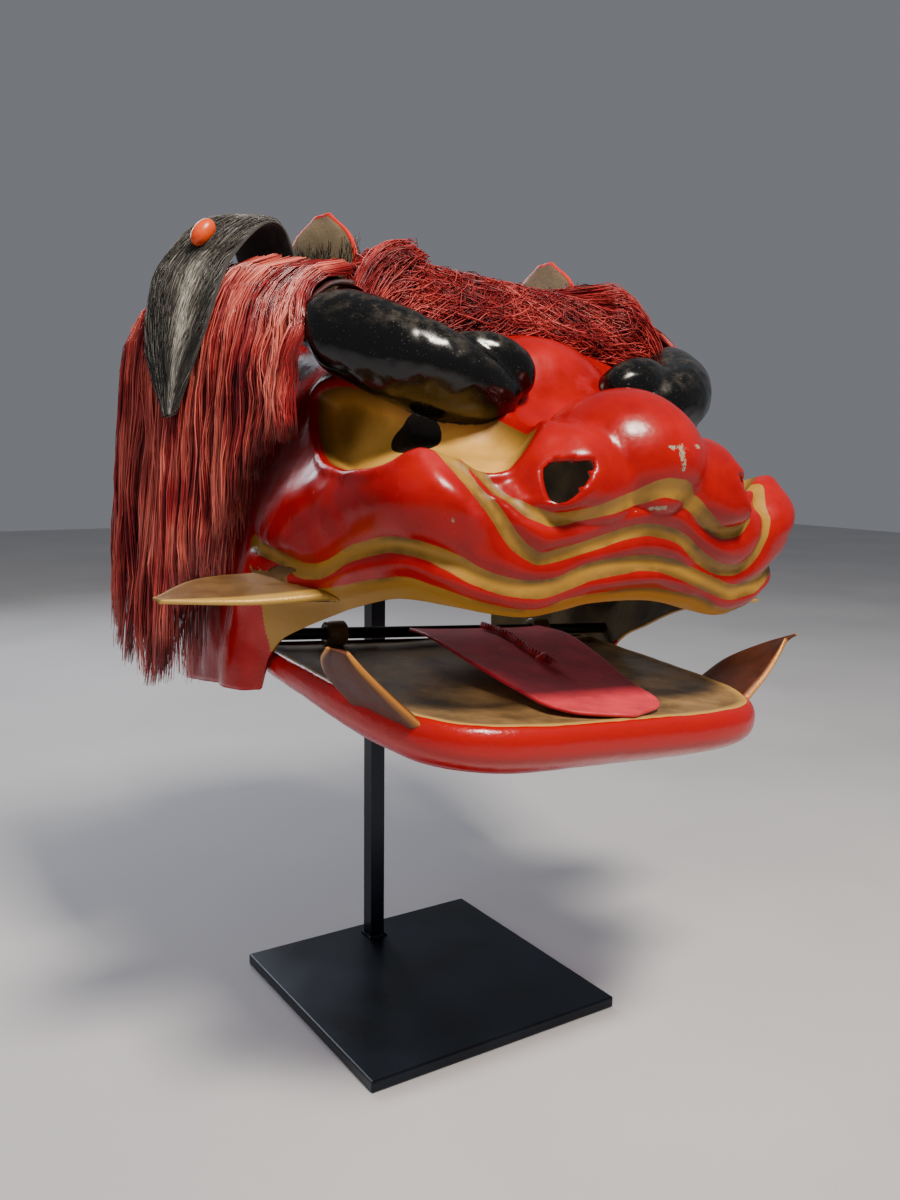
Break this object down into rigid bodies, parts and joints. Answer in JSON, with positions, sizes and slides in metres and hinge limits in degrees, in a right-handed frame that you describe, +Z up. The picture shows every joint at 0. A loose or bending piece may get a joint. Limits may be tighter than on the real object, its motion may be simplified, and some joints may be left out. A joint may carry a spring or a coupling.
{
  "type": "lion dance head on display stand",
  "caption": "Red and gold lacquered lion dance head with crimson hair, drooping fur ears, gilt fangs and an open hinged jaw, on a plain black steel post and square plate.",
  "frame": {"origin": "centre of the stand plate's underside, on the table", "axes": "-Y is where the lion looks, +X the lion's left, +Z up"},
  "size_m": [0.4731, 0.3661, 0.5554],
  "materials": {
    "red_lacquer": "glossy red lacquer over papier-mache, gold-painted grooves",
    "brow_lacquer": "glossy black lacquer over papier-mache, dusty on top",
    "jaw_lacquer": "gold-brown lacquer over carved light wood, worn in patches",
    "fang_gilt": "dull gold paint over carved light wood",
    "ear_fur": "grey-black fur on a stiff leaf with a gold rim",
    "ear_bead": "glossy orange",
    "cup_lining": "red-edged cloth over card, tan inside",
    "mane_hair": "crimson hair in layered falls",
    "tongue_felt": "thin red leather, worn pale along the middle",
    "tongue_cord": "red twisted cord",
    "rod_black": "black paint",
    "stand_steel": "satin blue-black steel"
  },
  "bodies": {
    "head_on_stand": {"head_shell": "red_lacquer", "brow_right": "brow_lacquer", "brow_left": "brow_lacquer", "ear_right": "ear_fur", "ear_left": "ear_fur", "ear_bead_right": "ear_bead", "ear_bead_left": "ear_bead", "ear_cup_right": "cup_lining", "ear_cup_left": "cup_lining", "mane_right": "mane_hair", "mane_left": "mane_hair", "crown_hair": "mane_hair", "upper_fang_right": "fang_gilt", "upper_fang_left": "fang_gilt", "hinge_rod": "rod_black", "stand_base": "stand_steel", "stand_post": "stand_steel", "stand_cradle": "stand_steel"},
    "jaw": {"lower_jaw": "jaw_lacquer", "lower_fang_right": "fang_gilt", "lower_fang_left": "fang_gilt", "tongue": "tongue_felt", "tongue_cord": "tongue_cord"}
  },
  "joints": [
    {"name": "jaw_hinge", "type": "hinge", "parent": "head_on_stand", "child": "jaw", "pos_m": [0.0085, -0.006, 0.27142], "axis": [0.9978, 0, -0.0663], "range_deg": [-10, 22]}
  ]
}
